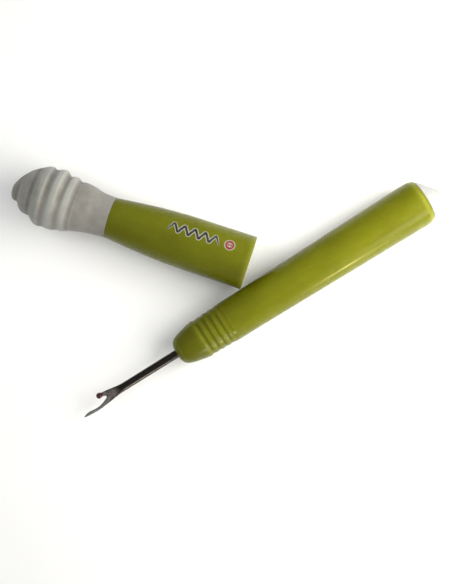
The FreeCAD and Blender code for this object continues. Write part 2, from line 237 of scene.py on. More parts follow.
def turned(name, outline, place, body, closed=False, turns=144, swell=None, wear_and_painted_light=None, **facts):
    """Turn a chain of (x, r) points about X. An open chain begins and ends on the axis.

    swell(x, r, angle) moves a point out from the axis, and the marking function (x, r) gives
    its wear, grime, painted shade and painted highlight. Angle 0 is level on the +Y side.
    """
    points, rings, worn_and_painted_light = [], [], []
    for x, r in outline:
        start = len(points)
        if r < ON_AXIS:
            points.append((x, 0.0, 0.0))
        else:
            for i in range(turns):
                angle = math.tau * i / turns
                out = r + (swell(x, r, angle) if swell else 0.0)
                points.append((x, out * math.cos(angle), out * math.sin(angle)))
        rings.append(range(start, len(points)))
        # per point: wear, grime, painted shade and painted highlight, for the material to read
        worn_and_painted_light += [wear_and_painted_light(x, r) if wear_and_painted_light else 0.0] * len(rings[-1])
    pairs = list(zip(rings, rings[1:]))
    if closed:
        pairs.append((rings[-1], rings[0]))
    faces = []
    for ring, following in pairs:
        for i in range(turns):
            j = (i + 1) % turns
            faces.append(without_repeats([
                ring[i % len(ring)], ring[j % len(ring)],
                following[j % len(following)], following[i % len(following)],
            ]))
    piece = make_piece(name, points, faces, place, body, **facts)
    mark(piece, "wear_and_painted_light", worn_and_painted_light)
    return piece


# ---------------------------------------------------------------- handle

nose_curve = through(
    (0, 2.05), (0.22, 2.75), (0.63, 3.55), (1.2, 4.12), (1.9, 4.5), (3.4, 5.02),
    (5.2, 5.45), (7.1, 5.86), (SHOULDER, SHOULDER_RADIUS),
)


def ring_lift(x):
    """0 in the valleys between the rings and 1 on the crests."""
    return abs(math.sin(math.pi * (x - RING_START) / RING_PITCH))


def grip_radius(x):
    """Outside of the grip: soft crests between narrow valleys, from the shoulder to the land."""
    last_crest = RING_START + (RING_COUNT - 0.5) * RING_PITCH
    crest = FIRST_CREST + CREST_GROWTH * ((x - RING_START) / RING_PITCH - 0.5)
    if x < RING_START:
        return SHOULDER_RADIUS + (crest - RING_DEPTH - SHOULDER_RADIUS) * ease(x, SHOULDER, RING_START)
    if x > last_crest:
        middle, width, depth = GROOVE
        rise = (LAND_RADIUS - crest) * ease(x, last_crest, LAND_START)
        return crest + rise - depth * bump_at(x, middle, width)
    return crest - RING_DEPTH * (1 - ring_lift(x) ** RING_SHARPNESS)


def barrel_radius(x):
    """The straight land that the cap slides on, then the tapered barrel."""
    if x <= LAND_END:
        return LAND_RADIUS
    return LAND_RADIUS + (BARREL_RADIUS - LAND_RADIUS) * (x - LAND_END) / (BARREL_END - LAND_END)


def handle_wear_and_highlight(x, r):
    """The nose's rim and the tail's edge rub against fingers and the table; the ring crests are rubbed too
    and also carry a painted highlight.
    """
    if r < 4 or x < 0.3:       # the holes and the nose's face
        return 0.0
    if RING_START < x < LAND_START:
        # ring crests paler: partly rubbed plastic, partly a painted highlight where the crests catch the
        # light
        return CREST_WEAR_AND_HIGHLIGHT * ring_lift(x) ** 6
    return max(strength * bump_at(x, middle, width) for middle, width, strength in EDGE_WEAR)


def make_handle():
    """Green moulded handle: blade socket, ringed grip, tapered barrel, open tail."""
    tail_end = TAIL_FACE - 0.04
    tail = through((BARREL_END, BARREL_RADIUS), (85.6, 7.16), (86.4, 6.98), (86.95, 6.76), (87.3, 6.56),
                   (tail_end, 6.32))
    outline = [(TANG_DEPTH, 0), (TANG_DEPTH, 0.8), (TANG_DEPTH - 0.6, NOSE_HOLE)]
    outline += rounded([(14, NOSE_HOLE), (0, NOSE_HOLE, 0.12), (0, 2.05, 0.12), (0.22, 2.75)])[1:-1]
    outline += [(x, nose_curve(x)) for x in spread(0.12, SHOULDER, 0.11)]
    outline += [(x, grip_radius(x)) for x in spread(SHOULDER, LAND_START, 0.075)[1:]]
    outline += [(x, barrel_radius(x)) for x in spread(LAND_START, BARREL_END, 1.2)[1:]]
    outline += [(x, tail(x)) for x in spread(BARREL_END, tail_end, 0.12)[1:]]
    outline += rounded([
        (tail_end, 6.3), (TAIL_FACE, 6.2), (TAIL_FACE, TAIL_SOCKET, 0.15), (SOCKET_FLOOR, TAIL_SOCKET, 0.3),
        (SOCKET_FLOOR, 4.9), (HOLLOW_SHOULDER, 4.2, 2.5), (HOLLOW_FRONT, 2.5, 1.5), (HOLLOW_FRONT, 0),
    ])[1:]
    return turned("handle_barrel", outline, handle_place, "handle", wear_and_painted_light=handle_wear_and_highlight,
                  nodes=["handle_shell"], slot="handle_green")


def make_tail_bush():
    """Hard bush inside the tail."""
    outline = rounded([
        (BUSH_FRONT, BUSH_BORE, 0.2), (BUSH_FRONT, BUSH_RADIUS, 0.5),
        (BUSH_BACK, BUSH_RADIUS, 0.1), (BUSH_BACK, BUSH_BORE, 0.1),
    ])
    return turned("tail_bush", outline, handle_place, "handle", closed=True,
                  nodes=["tail_ring"], slot="inner_plastic")


def make_tail_tip():
    """White rubber point over the tail, with its stem and barb inside the bush."""
    front, base = BUSH_FRONT - GAP, TAIL_FACE + GAP
    blunt_start, blunt_length = 92.2, 0.4
    cone = through((base, 6.34), (88.6, 5.3), (89.85, 3.97), (91.1, 2.42), (91.9, 1.32), (92.35, 0.72),
                   (TIP_END, 0))
    outline = [(front - 1.6, 0), (front - 1.6, 2.9), (front, 4.3), (front, TIP_STEM), (base, TIP_STEM)]
    outline += rounded([(base, TIP_STEM), (base, 6.4, 0.14), (87.9, 5.98)])[1:-1]
    outline += [(x, cone(x)) for x in spread(87.72, blunt_start, 0.16)]
    outline += [(blunt_start + blunt_length * math.sin(a), 0.95 * math.cos(a) ** 0.9)
                for a in spread(0.12, math.pi / 2, 0.2)]
    outline[-1] = (TIP_END, 0)

    def swell(x, r, angle):
        """Slight unevenness of the outside."""
        spot = Vector((x * 0.6, r * math.cos(angle) * 0.5, r * math.sin(angle) * 0.5))
        return 0.05 * noise.noise(spot) if base + 0.1 < x < TIP_END - 0.1 else 0.0

    return turned("tail_tip", outline, handle_place, "handle", swell=swell, turns=128,
                  nodes=["tail_eraser"], slot="eraser_rubber")


# ---------------------------------------------------------------- blade

# Outlines of the two prongs and half the blade's thickness, by the reach from the nose face.
ball_edge = through((0, SHAFT_RADIUS), (SHAFT_END, SHAFT_RADIUS), (20.8, 1.4), (22.6, 1.68), (24.2, 1.93),
                    (25.9, 2.08), (26.5, 2.05), (27.0, 1.8))
ball_crotch = through(CROTCH, (25.05, 0.52), (25.25, 0.69), (25.6, 0.82), (26.1, 1.02), (26.5, 1.22),
                      (27.0, 1.5))
lance_edge = through((0, -SHAFT_RADIUS), (20.4, -1.22), (21.6, -1.27), (23.1, -1.42), (24.9, -1.65),
                     (26.6, -1.87), (28.3, -2.06), (29.9, -2.1), (31.5, -1.98), (32.9, -1.85),
                     (BLADE_REACH, -1.56))
lance_crotch = through(CROTCH, (25.05, 0.08), (25.3, -0.12), (25.9, -0.36), (27.2, -0.8), (28.3, -1.07),
                       (29.3, -1.12), (30.6, -1.0), (31.9, -0.87), (33.0, -1.02), (BLADE_REACH, -1.5))
web_half = through((0, SHAFT_RADIUS), (SHAFT_END - 0.5, SHAFT_RADIUS), (20.5, 1.0), (22.4, 0.62),
                   (23.6, WEB_HALF), (30.6, 0.48), (32.0, 0.4), (BLADE_REACH, 0.07))
HALF_COLUMNS = 14              # faces across one prong's top
FLAT = 0.001                   # closer to the middle plane than this, top and underside share a point


def strip(low, high, half, blunt, count):
    """One prong's section from low to high, as (y, z) over its top. blunt 1 is round, near 0 boxy."""
    middle, width = (low + high) / 2, (high - low) / 2
    turn = [math.pi * i / count for i in range(count + 1)]
    return [(middle - width * math.cos(a), half * max(math.sin(a), 0.0) ** blunt) for a in turn]


def blade_section(reach):
    """Top of the blade at a reach: (y, z) from the lance's outer edge to the ball's side."""
    half = web_half(reach)
    crotch, parting = CROTCH
    flatness = 1 - WEB_BOXINESS * ease(reach, SHAFT_END - 0.5, WEB_FLAT)
    if reach <= crotch:
        whole = strip(lance_edge(reach), ball_edge(reach), half, flatness, 2 * HALF_COLUMNS)
        share = ease(reach, crotch - FORK_LEAD, crotch)
        if share == 0:
            return whole
        drift = 1 + SPLIT_DRIFT * (reach - crotch)
        split = lance_edge(reach) + (parting - lance_edge(crotch)) * drift
        grind = ease(reach, crotch - GRIND_LEAD, crotch)
        forked = (strip(lance_edge(reach), split, half, flatness, HALF_COLUMNS)
                  + strip(split, ball_edge(reach), half, flatness, HALF_COLUMNS)[1:])
        section = []
        for (y_whole, z_whole), (y_fork, z_fork) in zip(whole, forked):
            y = y_whole + (y_fork - y_whole) * share
            section.append((y, z_whole + (z_fork - z_whole) * grind))
        return section
    start, full, sharpness = BEVEL
    bevel = flatness + sharpness * ease(reach, start, full)
    lance = strip(lance_edge(reach), lance_crotch(reach), half, bevel, HALF_COLUMNS)
    if reach > BALL_REACH:
        return lance
    return lance + strip(ball_crotch(reach), ball_edge(reach), half, flatness, HALF_COLUMNS)


def make_blade():
    """Forged steel blade: keyed tang, round rod, flat web, ground crotch, short prong and lance."""
    apex, point = CROTCH[0], 0.25
    shaft = [-TANG_DEPTH, -TANG_DEPTH + 0.6] + spread(-KEY_END - 0.1, -KEY_START, 0.35)
    shaft += spread(-1, SHAFT_END - 1, 1.0)
    web = spread(SHAFT_END - 0.8, apex - 1.0, 0.14) + spread(apex - 0.95, apex, 0.05)
    fork = [apex + 1.85 * t * t for t in spread(0.06, 1, 0.035)]
    lance = spread(BALL_REACH, BLADE_REACH - point, 0.12)[1:]
    lance += [BLADE_REACH - point * (1 - t) for t in (0.35, 0.65, 0.86, 1.0)]
    points, faces = [], []
    index_of = {}

    def vertex(reach, y, z, key):
        """Number of the vertex with this reach and key, which is made when it is first asked for."""
        place = (round(reach, 5), key)
        if place not in index_of:
            index_of[place] = len(points)
            points.append((-reach, y, z))
        return index_of[place]

    def row(reach, section, columns, tag):
        """Vertex numbers round one section: over the top, then back along the underside."""
        top = [vertex(reach, y, z, (tag, c, "top")) for c, (y, z) in zip(columns, section)]
        low = [vertex(reach, y, -z, (tag, c, "low")) if z > FLAT else shared
               for shared, c, (y, z) in zip(top, columns, section)]
        return top + low[-2:0:-1]

    def shaft_section(reach):
        """The rod's section, thinner in the tang's key groove and at its end."""
        scale = 1.0
        if -KEY_END <= reach <= -KEY_START:
            scale = 0.8
        elif reach == -TANG_DEPTH:
            scale = 0.64
        return [(y * scale, z * scale) for y, z in blade_section(max(reach, 0.0))]

    def skin(rows):
        """Faces between each row and the next."""
        for ring, following in zip(rows, rows[1:]):
            for i in range(len(ring)):
                j = (i + 1) % len(ring)
                face = without_repeats([ring[j], following[j], following[i], ring[i]])
                if len(face) > 2:
                    faces.append(face)

    stem = [row(reach, shaft_section(reach), range(2 * HALF_COLUMNS + 1), "stem") for reach in shaft + web]
    skin(stem)
    faces.append(stem[0][::-1])
    across = HALF_COLUMNS + 1
    for tag, first, reaches in (("lance", 0, fork + lance), ("ball", HALF_COLUMNS, fork)):
        columns = range(first, first + across)
        # at the crotch a prong takes the stem's own vertices
        rows = [row(apex, blade_section(apex)[first:first + across], columns, "stem")]
        part = slice(0, across) if tag == "lance" else slice(across, 2 * across)
        rows += [row(reach, blade_section(reach)[part], columns, tag) for reach in reaches]
        skin(rows)
        faces.append(rows[-1])
    piece = make_piece("forked_blade", points, faces, handle_place, "handle", sharp=48,
                       nodes=["blade"], slot="blade_steel")
    mark(piece, "wear_and_painted_light", [ease(-x, 20, 22.5) * ease(abs(z) / web_half(-x), 0.75, 1) if x < -20 else 0.0
                         for x, y, z in points])
    return piece


def make_ball():
    """Cherry-red ball dipped over the short prong, with a drawn-out collar on the prong."""
    outline = [(-BALL_RADIUS * math.cos(a), BALL_RADIUS * math.sin(a)) for a in spread(0.0, BALL_ARC, 0.09)]
    collar = through((0.58, 0.724), (0.8, 0.68), (1.1, 0.63), (1.35, 0.57))
    outline += [(x, collar(x)) for x in spread(0.62, 1.35, 0.06)] + [(1.39, 0.5), (1.39, 0)]
    place = handle_place @ Matrix.Translation(Vector((-BALL_REACH, BALL_OFFSET, 0)) * MM)
    lean = Matrix.Rotation(math.radians(BALL_LEAN), 4, "Z")
    return turned("red_ball", outline, place @ lean, "handle", turns=64,
                  nodes=["blade_ball"], slot="ball_red")


# ---------------------------------------------------------------- cap

cap_curve = through(
    (NECK, NECK_RADIUS), (34.5, 6.66), (38.5, 7.08), (42.75, 7.47), (48, 7.86), (53.5, 8.1),
    (64, 8.2), (MOUTH, MOUTH_RADIUS),
)


def cap_rim_highlight(x, r):
    """Painted highlight: a pale band on the mouth's outer rim."""
    return ease(x, MOUTH - 1.7, MOUTH - 0.3) if r > BORE_RADIUS + 0.1 else 0.0


def make_cap():
    """Green cap tube: rounded mouth with a lead-in, bore, seat for the nose, socket for the liner."""
    bore_back = MOUTH - LEAD_IN - BORE_LENGTH
    outline = rounded([(NECK, NECK_RADIUS - 1), (NECK, NECK_RADIUS, 0.13), (31.4, cap_curve(31.4))])[1:-1]
    outline += [(x, cap_curve(x)) for x in spread(31, MOUTH - 0.5, 0.8)]
    outline += rounded([
        (MOUTH - 0.5, MOUTH_RADIUS), (MOUTH, MOUTH_RADIUS, 0.32), (MOUTH, LEAD_IN_RADIUS, 0.16),
        (MOUTH - LEAD_IN, BORE_RADIUS, 0.25), (bore_back, BORE_RADIUS, 0.4),
        (bore_back - SEAT_LENGTH, SEAT_RADIUS, 0.3),
        (LINER_END, LINER_STEM + GAP, 0.3), (NECK, LINER_STEM + GAP, 0.15), (NECK, NECK_RADIUS - 1),
    ])[1:]
    return turned("cap_tube", outline, cap_place, "cap", closed=True, wear_and_painted_light=cap_rim_highlight, turns=160,
                  nodes=["cap_shell"], slot="cap_green")


def make_liner():
    """White liner that carries the rubber: key bead, flange, stem, and a pocket for the blade's point."""
    outline = rounded([
        (LINER_START, 0), (LINER_START, LINER_RADIUS, 0.7), (BEAD_START, LINER_RADIUS),
        (BEAD_TOP, BEAD_RADIUS, 0.1), (BEAD_END, BEAD_RADIUS, 0.1), (BEAD_END, LINER_RADIUS),
        (FLANGE_START, LINER_RADIUS), (FLANGE_START, FLANGE_RADIUS, 0.1),
        (NECK - GAP, FLANGE_RADIUS, 0.1), (NECK - GAP, LINER_STEM, 0.05),
        (LINER_END - GAP, LINER_STEM, 0.35), (LINER_END - GAP, 3.7, 0.15),
        (42.8, POCKET_RADIUS, 0.3), (13.6, POCKET_RADIUS, 1.4), (12.6, 0),
    ])
    return turned("cap_liner", outline, cap_place, "cap", turns=96,
                  nodes=["cap_core"], slot="inner_plastic")


# Silhouette of the bulb on its upper (+Y) and lower side: the nub droops, and the rings fade below.
bulb_upper = through(
    (0, 0.3), (0.1, 0.75), (0.4, 1.35), (1.0, 2.45), (2.3, 4.25), (4.35, 6.3), (6.8, 7.9), (9.0, 9.0),
    (10.0, 9.15), (10.9, 8.75), (11.4, 8.68), (13.1, 9.36), (14.1, 9.42), (15.1, 8.6), (15.8, 8.12),
    (17.1, 8.45), (17.9, 8.43), (18.9, 7.75), (19.5, 7.52), (20.7, 7.7), (21.8, 7.62), (23.3, 7.42),
    (26.4, 6.62), (28.6, 6.32), (NECK, NECK_RADIUS),
)
bulb_lower = through(
    (0, 1.0), (0.1, 1.9), (0.35, 2.95), (0.8, 3.75), (1.35, 4.1), (2.2, 4.22), (2.75, 4.6), (3.4, 5.65),
    (4.2, 6.5), (5.0, 6.92), (5.9, 7.05), (6.8, 7.08), (7.4, 7.5), (8.2, 8.3), (9.2, 8.98), (10.3, 9.28),
    (11.2, 9.14), (11.9, 9.02), (13.4, 9.2), (14.6, 9.12), (15.8, 8.68), (16.4, 8.56), (17.6, 8.52),
    (19.4, 7.86), (23.3, 6.98), (26.5, 6.5), (NECK, NECK_RADIUS),
)
# Grime lines with painted shade in the bulb's valleys: where, how wide, how strong. Then the neck's soil
# and painted shade: start, end and strength.
SHADE_AND_GRIME_LINES = (2.3, 6.8, 11.3, 15.6, 19.3)
SHADE_AND_GRIME_WIDTH = 1.15
SHADE_AND_GRIME_STRENGTH = 0.9
NECK_SOIL_AND_SHADE = (18.5, 21, 0.74)


def bulb_curve(x):
    """Mean radius of the bulb."""
    return (bulb_upper(x) + bulb_lower(x)) / 2


def bulb_swell(x, r, angle):
    """How far the bulb's skin lies from its mean radius, round the axis."""
    if r < bulb_curve(x) - 0.5:    # the hollow inside stays round
        return 0.0
    upper = ease((1 + math.cos(angle)) / 2, 0.0, 0.85)
    spot = Vector((x * 0.35, math.cos(angle) * 2, math.sin(angle) * 2))
    skin = bulb_lower(x) + (bulb_upper(x) - bulb_lower(x)) * upper
    return skin - bulb_curve(x) + 0.07 * noise.noise(spot) * ease(x, 0.3, 3)


def bulb_grime_and_shade(x, r):
    """Lint and grime, deepened with painted shade, darken the valleys past the crests; finger soil and
    painted shade darken the neck.
    """
    start, end, strength = NECK_SOIL_AND_SHADE
    lines = [SHADE_AND_GRIME_STRENGTH * bump_at(x, line, SHADE_AND_GRIME_WIDTH) for line in SHADE_AND_GRIME_LINES]
    return max(lines + [strength * ease(x, start, end)])


def make_bulb():
    """White rubber bulb with rings that catch unpicked thread, hollow where it grips the liner."""
    socket = LINER_RADIUS + GAP
    # points crowd towards the tip, where the nub curves most
    outline = [(0, 0), (0, 0.3)] + [(t * t / 2, bulb_curve(t * t / 2)) for t in spread(0.1, 2, 0.1)]
    outline += [(x, bulb_curve(x)) for x in spread(2.1, NECK - 0.4, 0.16)]
    outline += rounded([
        (NECK - 0.4, bulb_curve(NECK - 0.4)), (NECK - GAP, NECK_RADIUS, 0.13),
        (NECK - GAP, FLANGE_RADIUS + GAP), (FLANGE_START - GAP, FLANGE_RADIUS + GAP),
        (FLANGE_START - GAP, socket), (BEAD_END + GAP, socket), (BEAD_END + GAP, BEAD_RADIUS + GAP),
        (BEAD_TOP, BEAD_RADIUS + GAP), (BEAD_START, socket),
        (LINER_START - GAP, socket, 0.6), (LINER_START - GAP, 0),
    ])[1:]
    return turned("rubber_bulb", outline, cap_place, "cap", swell=bulb_swell, wear_and_painted_light=bulb_grime_and_shade,
                  turns=192, sharp=60, nodes=["cap_eraser"], slot="eraser_rubber")


# ---------------------------------------------------------------- printed motif

PRINT_SIDE = 3.0               # middle of the motif, round the tube from its top towards +Y
FILM = 0.03                    # thickness of the ink, most of it sunk in the tube
SEAM = (48.6, 64.6, 3.2, 1.25)  # start, end, pitch and half height of the zigzag
BUTTON_AT = (67.6, PRINT_SIDE - 0.1)
BUTTON_RADIUS = 1.1
HOLE_RADIUS = 0.2
HOLE_OFFSET = 0.4
LIFTS = (0.012, 0.024, 0.026)  # of the underprint, the black and the red over the tube


def band(points, faces, line, half, lift):
    """Add a closed ink film along a line of (x, around) points: half(t) is half its width."""
    base = len(points)
    count = len(line)
    for i, (x, around) in enumerate(line):
        before, after = line[max(i - 1, 0)], line[min(i + 1, count - 1)]
        run = Vector((after[0] - before[0], after[1] - before[1])).normalized()
        side = Vector((-run.y, run.x)) * half(i / (count - 1))
        for sign, height in ((1, lift), (-1, lift), (-1, lift - FILM), (1, lift - FILM)):
            px, pa = x + sign * side.x, around + sign * side.y
            radius = cap_curve(px)
            angle = math.pi / 2 - pa / radius
            points.append((px, (radius + height) * math.cos(angle), (radius + height) * math.sin(angle)))
    for i in range(count - 1):
        for k in range(4):
            a, b = base + 4 * i + k, base + 4 * i + (k + 1) % 4
            faces.append([a, b, b + 4, a + 4])
    faces.append([base + k for k in (3, 2, 1, 0)])
    faces.append([base + 4 * (count - 1) + k for k in range(4)])


def zigzag(start, end, pitch, height):
    """Zigzag stitch with rounded corners, from one x to another."""
    points = []
    for x in spread(start, end, 0.13):
        turn = (x - start) * math.tau / pitch
        points.append((x, PRINT_SIDE - height * (math.cos(turn) + math.cos(3 * turn) / 9) * 0.9))
    return points


def ring_line(middle, radius, sides=24):
    """Circle on the unrolled tube, that ends where it starts."""
    x, around = middle
    return [(x + radius * math.cos(a), around + radius * math.sin(a))
            for a in [math.tau * i / sides for i in range(sides + 1)]]


def printed(name, lift, *shapes):
    """One colour of the motif: every shape is a line and its half width."""
    points, faces = [], []
    for line, half in shapes:
        band(points, faces, line, half, lift)
    return make_piece(name, points, faces, cap_place, "cap")


def even(half):
    """Half width of a line that is as wide all along."""
    return lambda t: half


def blunt(half):
    """Half width of a stitch with rounded ends."""
    return lambda t: half * max(0.15, 1 - abs(2 * t - 1) ** 6) ** 0.5


def make_print():
    """A zigzag stitch that ends at a red button: black, red and their pale underprint."""
    x, around = BUTTON_AT
    seam = zigzag(*SEAM)
    button = ring_line(BUTTON_AT, BUTTON_RADIUS)
    holes = [ring_line((x + offset, around), HOLE_RADIUS) for offset in (-HOLE_OFFSET, HOLE_OFFSET)]
    under = printed("print_underlay", LIFTS[0], (seam, blunt(0.62)), (button, even(0.6)),
                    (ring_line(BUTTON_AT, 0.3), even(0.29)))
    black = printed("print_ink", LIFTS[1], (seam, blunt(0.33)))
    red = printed("print_thread", LIFTS[2], (button, even(0.27)), *[(hole, even(0.12)) for hole in holes])
    return under, black, red


# ---------------------------------------------------------------- materials

def feed(tree, node, feeds):
    """Give a node's inputs, by name or number, their values or the outputs that feed them."""
    for name, value in feeds.items():
        if isinstance(value, bpy.types.NodeSocket):
            tree.links.new(value, node.inputs[name])
        else:
            node.inputs[name].default_value = value


def add(tree, kind, feeds=None, **settings):
    """Add a node with its settings and feeds."""
    node = tree.nodes.new(kind)
    for name, value in settings.items():
        setattr(node, name, value)
    feed(tree, node, feeds or {})
    return node


def dimmed(colour, share):
    """A colour at a share of its brightness."""
    return [channel * share for channel in colour]


class Paint:
    """One material: its node tree, and shorthands for the nodes that every finish here uses."""

    def __init__(self, name):
        self.material = bpy.data.materials.new(name)
        self.material.use_nodes = True
        self.tree = self.material.node_tree
        self.shader = self.tree.nodes["Principled BSDF"]
        self.place = add(self.tree, "ShaderNodeTexCoord").outputs["Object"]

    def set(self, **values):
        """Feed the shader's inputs, with _ for the spaces in their names."""
        feed(self.tree, self.shader, {name.replace("_", " "): value for name, value in values.items()})

    def grain(self, size, stretch=(1, 1, 1), detail=3.0, rough=0.55, warp=0.0):
        """Noise with features about size millimetres across, and longer where stretch is above 1."""
        scale = [1 / (size * MM * s) for s in stretch]
        mapped = add(self.tree, "ShaderNodeMapping", {"Vector": self.place, "Scale": scale})
        feeds = {"Vector": mapped.outputs[0], "Scale": 1.0, "Detail": detail, "Roughness": rough,
                 "Distortion": warp}
        return add(self.tree, "ShaderNodeTexNoise", feeds).outputs["Fac"]

    def span(self, value, low, high, out_low=0.0, out_high=1.0):
        """Map a value from low..high to out_low..out_high, and hold it there outside."""
        feeds = {"Value": value, "From Min": low, "From Max": high, "To Min": out_low, "To Max": out_high}
        return add(self.tree, "ShaderNodeMapRange", feeds, clamp=True).outputs["Result"]

    def blend(self, share, first, second):
        """Colour that goes from first to second as share goes from 0 to 1."""
        first, second = [colour if isinstance(colour, bpy.types.NodeSocket) else (*colour, 1)
                         for colour in (first, second)]
        mix = add(self.tree, "ShaderNodeMix", {0: share, 6: first, 7: second}, data_type="RGBA")
        return mix.outputs[2]

    def maths(self, operation, first, second):
        """A sum of two numbers, or another of the math node's operations."""
        return add(self.tree, "ShaderNodeMath", {0: first, 1: second}, operation=operation).outputs[0]

    def times(self, first, second):
        return self.maths("MULTIPLY", first, second)

    def along(self, axis):
        """How far along one of the piece's own axes, in millimetres."""
        parts = add(self.tree, "ShaderNodeSeparateXYZ", {"Vector": self.place})
        return self.times(parts.outputs[axis], 1 / MM)

    def wear_and_painted_light(self):
        """The number that mark() kept on each point."""
        return add(self.tree, "ShaderNodeAttribute", attribute_name="wear_and_painted_light").outputs["Fac"]

    def bumps(self, *layers):
        """Stack (height, depth in millimetres) layers of relief."""
        normal = None
        for height, depth in layers:
            feeds = {"Height": height, "Distance": depth * MM, "Strength": 1.0}
            if normal:
                feeds["Normal"] = normal
            normal = add(self.tree, "ShaderNodeBump", feeds).outputs["Normal"]
        self.set(Normal=normal)


def green_plastic(name, deep, bright, shade_end):
    """Satin moulded plastic: clouded colour, paler rubbed edges and painted highlights, fine drag marks
    along the piece.

    Painted shade, standing in for light that falls off towards X = 0, darkens it most there and no longer
    at the given end.
    """
    paint = Paint(name)
    cloud = paint.span(paint.grain(9, (2.2, 1, 1), 4), 0.35, 0.65)
    body = paint.blend(cloud, deep, bright)
    # rubbed edges, with painted highlights on the ring crests and the cap's rim
    worn_and_painted_light = paint.times(paint.wear_and_painted_light(), paint.span(paint.grain(0.7), 0.3, 0.7, 0.5, 1.0))
    pale_worn_and_lit = [channel * 1.6 + 0.025 for channel in bright]
    # painted shade: darker towards X = 0, where less light falls
    painted_end_shade = paint.times(paint.span(paint.along("X"), shade_end, 0), paint.span(cloud, 0, 1, 0.22, 0.34))
    body = paint.blend(painted_end_shade, body, dimmed(deep, 0.2))
    specks = paint.span(paint.grain(0.28, detail=1), 0.69, 0.76)
    colour = paint.blend(paint.times(worn_and_painted_light, 0.7), body, pale_worn_and_lit)
    colour = paint.blend(paint.times(specks, 0.35), colour, dimmed(deep, 0.45))
    drag = paint.grain(0.09, (45, 1, 1), 2)
    smudge = paint.span(paint.grain(4.5, (1.5, 1, 1), 5, 0.65), 0.38, 0.66, 0.0, 0.12)
    rough = paint.maths("ADD", paint.span(drag, 0.35, 0.7, 0.16, 0.25), smudge)
    paint.set(Base_Color=colour, Roughness=rough, Subsurface_Weight=0.22, Subsurface_Scale=1.6 * MM,
              Subsurface_Radius=(1.0, 1.0, 0.25), Specular_IOR_Level=0.16, IOR=1.49)
    paint.bumps((paint.grain(0.16, detail=2), 0.0035), (drag, 0.003), (paint.grain(5, (2, 1, 1)), 0.05))
    return paint.material


def steel():
    """Blackened drawn rod with lines along it, pinkish rubbed web, and a paler ground lance."""
    paint = Paint("drawn_steel")
    lines = paint.grain(0.05, (70, 1, 1), 2)
    pits = paint.span(paint.grain(0.14, detail=4, rough=0.7), 0.62, 0.72)
    stain = paint.span(paint.grain(1.6, (2, 1, 1), 4, warp=0.6), 0.35, 0.7)
    rod = paint.blend(paint.span(lines, 0.3, 0.7), (0.022, 0.02, 0.018), (0.05, 0.046, 0.041))
    rod = paint.blend(paint.times(stain, 0.4), rod, (0.042, 0.028, 0.023))
    web = paint.blend(stain, (0.36, 0.31, 0.285), (0.29, 0.25, 0.23))
    metal = paint.blend(paint.times(paint.wear_and_painted_light(), paint.span(stain, 0, 1, 1.0, 0.75)), rod, web)
    grind_start, grind_full = CROTCH[0] + 1.5, CROTCH[0] + 5.5
    ground = paint.span(paint.along("X"), -grind_start, -grind_full)
    metal = paint.blend(paint.times(ground, 0.85), metal, (0.36, 0.36, 0.355))
    metal = paint.blend(paint.times(pits, 0.45), metal, (0.05, 0.04, 0.036))
    rough = paint.maths("ADD", paint.span(lines, 0.3, 0.7, 0.2, 0.3), paint.times(pits, 0.2))
    paint.set(Base_Color=metal, Metallic=1.0, Roughness=rough)
    paint.bumps((lines, 0.0014), (paint.grain(0.5, (3, 1, 1), 3), 0.008), (pits, -0.003))
    return paint.material


def red_enamel():
    """Glossy dark cherry dip coat with a slight orange peel."""
    paint = Paint("cherry_enamel")
    cloud = paint.span(paint.grain(0.5), 0.35, 0.65)
    tint = paint.blend(cloud, (0.03, 0.0014, 0.003), (0.052, 0.0024, 0.0055))
    paint.set(Base_Color=tint, Roughness=paint.span(paint.grain(0.2), 0.3, 0.7, 0.1, 0.2),
              Coat_Weight=0.15, Coat_Roughness=0.06, IOR=1.5)
    paint.bumps((paint.grain(0.22, detail=1), 0.006))
    return paint.material


def rubber(name, clean, soiled_and_shaded, dirt_from, dirt_to):
    """Matte white rubber with a powdery grain.

    Handling grime grows from dirt_from to dirt_to along X, and the marked number adds its own lines of
    grime and painted shade.
    """
    paint = Paint(name)
    patch = paint.span(paint.grain(3.2, detail=5, rough=0.62), 0.36, 0.64)
    grime_and_shade = paint.span(paint.along("X"), dirt_from, dirt_to)
    grime_and_shade = paint.times(grime_and_shade, paint.span(patch, 0, 1, 0.72, 1.0))
    # grime and painted shade from the mark: the bulb's valley lines and its neck
    lines = paint.times(paint.wear_and_painted_light(), paint.span(patch, 0, 1, 0.85, 1.0))
    grime_and_shade = paint.maths("MAXIMUM", grime_and_shade, lines)
    colour = paint.blend(paint.times(patch, 0.5), clean, dimmed(clean, 0.86))
    # darkened by grime and by painted shade
    colour = paint.blend(grime_and_shade, colour, soiled_and_shaded)
    crumbs = paint.span(paint.grain(0.33, detail=2), 0.66, 0.74)
    colour = paint.blend(paint.times(crumbs, 0.3), colour, dimmed(soiled_and_shaded, 0.6))
    paint.set(Base_Color=colour, Roughness=paint.span(patch, 0, 1, 0.66, 0.85), IOR=1.45,
              Subsurface_Weight=0.1, Subsurface_Scale=1.0 * MM, Subsurface_Radius=(1.0, 0.9, 0.75),
              Sheen_Weight=0.12, Sheen_Roughness=0.6)
    paint.bumps((paint.grain(0.11, detail=3), 0.009), (paint.grain(0.8, detail=3), 0.03), (crumbs, 0.01))
    return paint.material


def inner_plastic():
    """Plain white hard plastic of the hidden pieces, with tool marks round the axis."""
    paint = Paint("inner_white")
    cloud = paint.span(paint.grain(3), 0.35, 0.65)
    tool = paint.grain(0.12, (1, 30, 30), 2)
    paint.set(Base_Color=paint.blend(cloud, (0.62, 0.62, 0.58), (0.72, 0.72, 0.69)),
              Roughness=paint.span(tool, 0.3, 0.7, 0.42, 0.6))
    paint.bumps((tool, 0.006), (paint.grain(0.2), 0.004))
    return paint.material


